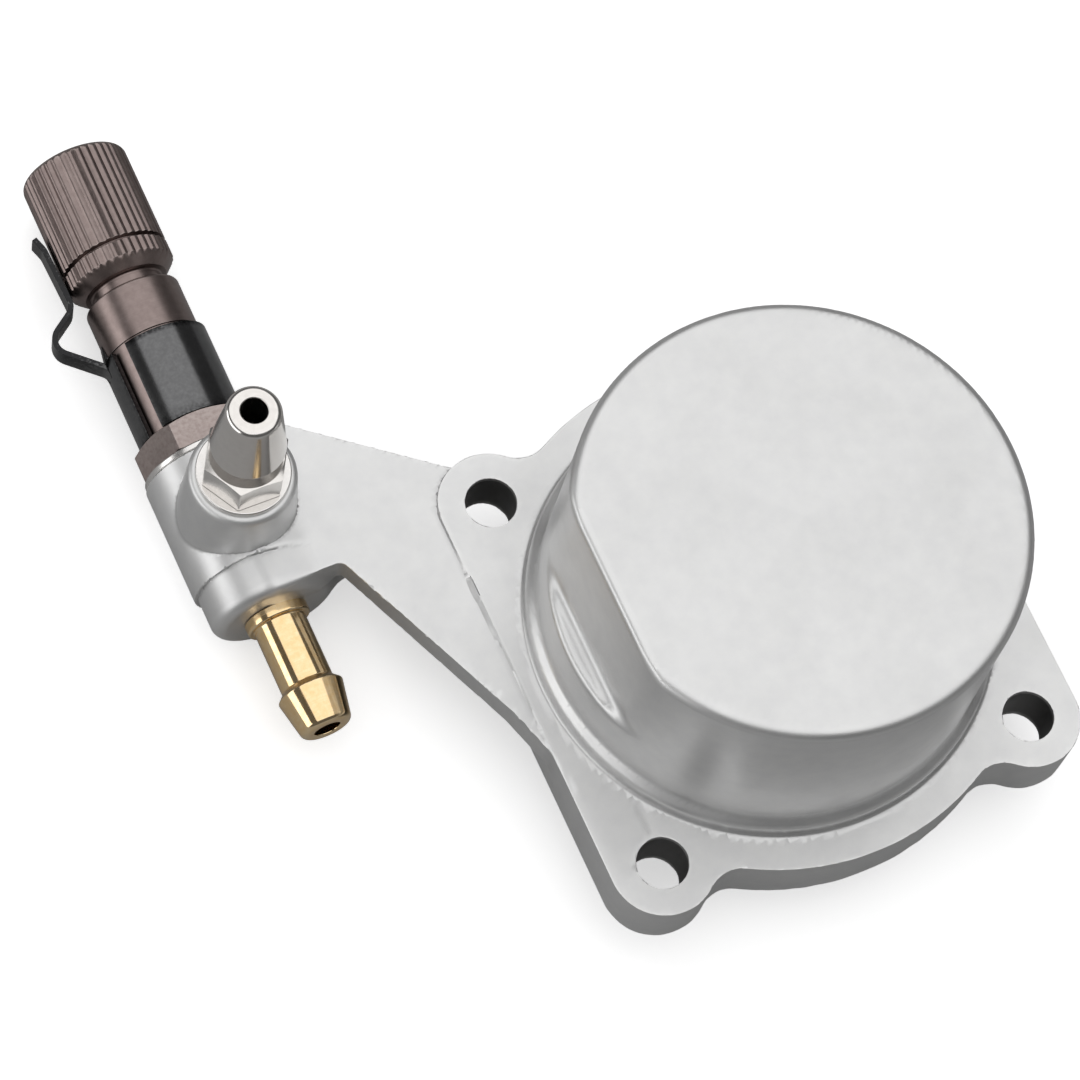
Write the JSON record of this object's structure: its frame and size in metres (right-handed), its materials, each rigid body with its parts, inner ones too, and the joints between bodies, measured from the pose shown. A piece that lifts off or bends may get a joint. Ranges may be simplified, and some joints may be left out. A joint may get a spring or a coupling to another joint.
{
  "type": "engine rear cover with remote needle valve",
  "caption": "Cast round rear cover with a flanged plug and a side arm that carries a knurled needle valve, an upright fuel inlet nipple and a barbed outlet nipple.",
  "frame": {"origin": "centre of the plug's closed face", "axes": "+Z out of the plug along its axis, into the crankcase; +Y along the needle, out of its knob; +X from the needle valve towards the plug"},
  "size_m": [0.0485, 0.0614, 0.0232],
  "materials": {
    "cast_body": "satin tumbled casting with machined faces",
    "gunmetal": "dark brownish plating on turned brass",
    "bright_washer": "bright turned ring",
    "black_spring": "semi-gloss black spring steel",
    "nickel": "bright nickel plating",
    "brass": "polished turned brass",
    "needle_steel": "ground steel",
    "seal_rubber": "matt black"
  },
  "bodies": {
    "cover": {"rear_cover": "cast_body", "needle_holder": "gunmetal", "holder_washer": "bright_washer", "ratchet_spring": "black_spring", "inlet_nipple": "nickel", "inlet_washer": "bright_washer", "outlet_nipple": "brass"},
    "needle_seal": {"needle_o_ring": "seal_rubber"},
    "needle": {"needle_knob": "gunmetal", "needle_stem": "needle_steel", "extension_grub_screw": "needle_steel"}
  },
  "joints": [
    {"name": "needle_travel", "type": "slide", "parent": "cover", "child": "needle_seal", "axis": [0, 1, 0], "range_m": [-0.00063, 0.00187]},
    {"name": "needle_turn", "type": "hinge", "parent": "needle_seal", "child": "needle", "pos_m": [-0.0268, 0.03, -0.01895], "axis": [0, 1, 0], "range_deg": [-452, 1352]}
  ],
  "couplings": [
    {"joint": "needle_turn", "follows": "needle_travel", "rad_per_m": 12566}
  ]
}
